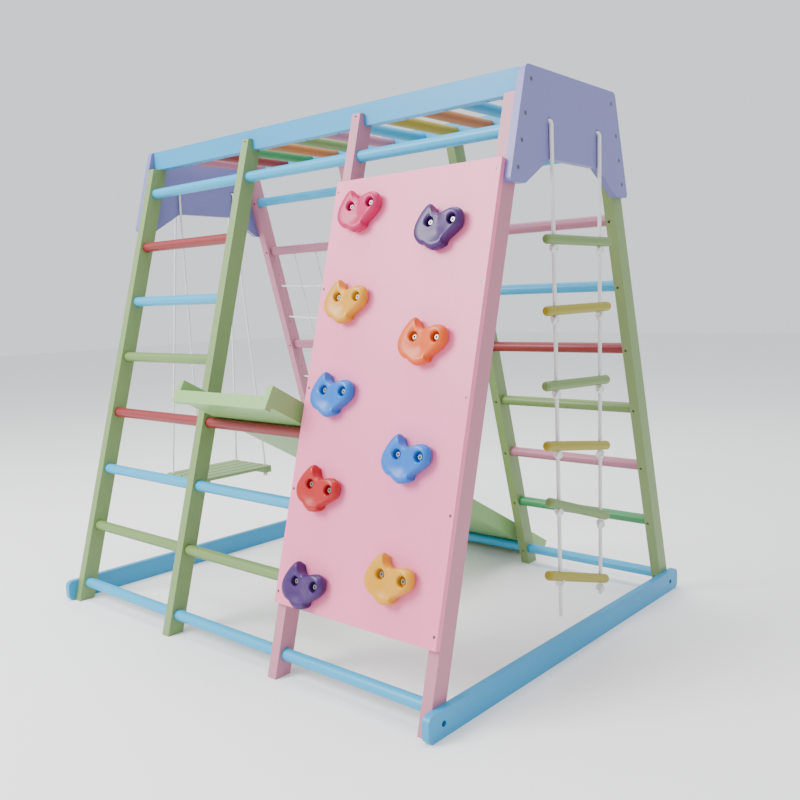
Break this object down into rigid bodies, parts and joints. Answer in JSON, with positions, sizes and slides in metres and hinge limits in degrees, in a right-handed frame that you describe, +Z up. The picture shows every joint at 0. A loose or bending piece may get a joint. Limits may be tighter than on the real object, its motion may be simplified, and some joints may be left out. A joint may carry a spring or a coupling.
{
  "type": "indoor climbing frame with slide",
  "caption": "Wooden A-frame for climbing indoors, with overhead bars, slide, climbing board, rope net, swing and rope ladder.",
  "frame": {"origin": "on the floor, under the middle of the whole frame's box without its ropes", "axes": "+X along the overhead bars' run, from the swing to the rope ladder; +Y the way the slide runs down, away from the climbing board; +Z up"},
  "size_m": [1.4614, 1.2248, 1.3],
  "materials": {
    "leg_green": "satin paint",
    "leg_pink": "satin paint",
    "rung_blue": "satin paint",
    "rung_lime": "satin paint",
    "rung_red": "satin paint",
    "rung_green": "satin paint",
    "rung_pink": "satin paint",
    "rung_yellow": "satin paint",
    "rung_orange": "satin paint",
    "beam_blue": "satin paint",
    "panel_lilac": "satin paint",
    "board_pink": "satin paint",
    "slide_green": "satin paint",
    "swing_green": "satin paint",
    "hold_plastic": "moulded, slightly rough",
    "bolt_steel": "zinc plated",
    "screw_steel": "zinc plated",
    "net_rope": "braided",
    "swing_rope": "braided",
    "ladder_rope": "twisted"
  },
  "bodies": {
    "root": {"near_leg_1": "leg_green", "near_leg_2": "leg_green", "far_leg_3": "leg_green", "far_leg_4": "leg_green", "near_leg_3": "leg_pink", "near_leg_4": "leg_pink", "far_leg_1": "leg_pink", "far_leg_2": "leg_pink", "near_rung_1": "rung_blue", "far_rung_1": "rung_blue", "near_rung_2": "rung_lime", "far_rung_2": "rung_green", "near_rung_3": "rung_blue", "far_rung_3": "rung_pink", "near_rung_4": "rung_red", "far_rung_4": "rung_lime", "near_rung_5": "rung_lime", "far_rung_5": "rung_red", "near_rung_6": "rung_blue", "far_rung_6": "rung_blue", "near_rung_7": "rung_red", "far_rung_7": "rung_pink", "near_rung_8": "rung_blue", "far_rung_8": "rung_blue", "overhead_bars_blue": "rung_blue", "overhead_bars_green": "rung_green", "overhead_bars_lime": "rung_lime", "overhead_bars_orange": "rung_orange", "overhead_bars_pink": "rung_pink", "overhead_bars_red": "rung_red", "overhead_bars_yellow": "rung_yellow", "near_top_beam": "beam_blue", "far_top_beam": "beam_blue", "left_gable_panel": "panel_lilac", "right_gable_panel": "panel_lilac", "base_rails": "beam_blue", "net_bars": "rung_pink", "net_ropes": "net_rope", "climbing_board": "board_pink", "climbing_holds": "hold_plastic", "hold_bolts": "bolt_steel", "frame_screws": "screw_steel", "near_swing_rope_top": "swing_rope", "near_ladder_rope_top": "ladder_rope", "far_swing_rope_top": "swing_rope", "far_ladder_rope_top": "ladder_rope"},
    "slide": {"slide_bed": "slide_green", "slide_left_wall": "slide_green", "slide_right_wall": "slide_green", "slide_top_batten": "slide_green"},
    "swing": {"swing_slats": "swing_green", "swing_cleats": "swing_green", "near_swing_rope": "swing_rope", "far_swing_rope": "swing_rope"},
    "rope_ladder": {"ladder_rungs_green": "rung_lime", "ladder_rungs_yellow": "rung_yellow", "near_ladder_rope": "ladder_rope", "far_ladder_rope": "ladder_rope"}
  },
  "joints": [
    {"name": "slide_lift", "type": "slide", "parent": "root", "child": "slide", "axis": [0, 0.481, 0.8767], "range_m": [0, 0.15]},
    {"name": "swing_pivot", "type": "hinge", "parent": "root", "child": "swing", "pos_m": [-0.6322, -0.05664, 1.118], "axis": [0, 1, 0], "range_deg": [-25, 25]},
    {"name": "rope_ladder_pivot", "type": "hinge", "parent": "root", "child": "rope_ladder", "pos_m": [0.7197, -0.05664, 1.186], "axis": [0, -1, 0], "range_deg": [0, 40]}
  ]
}
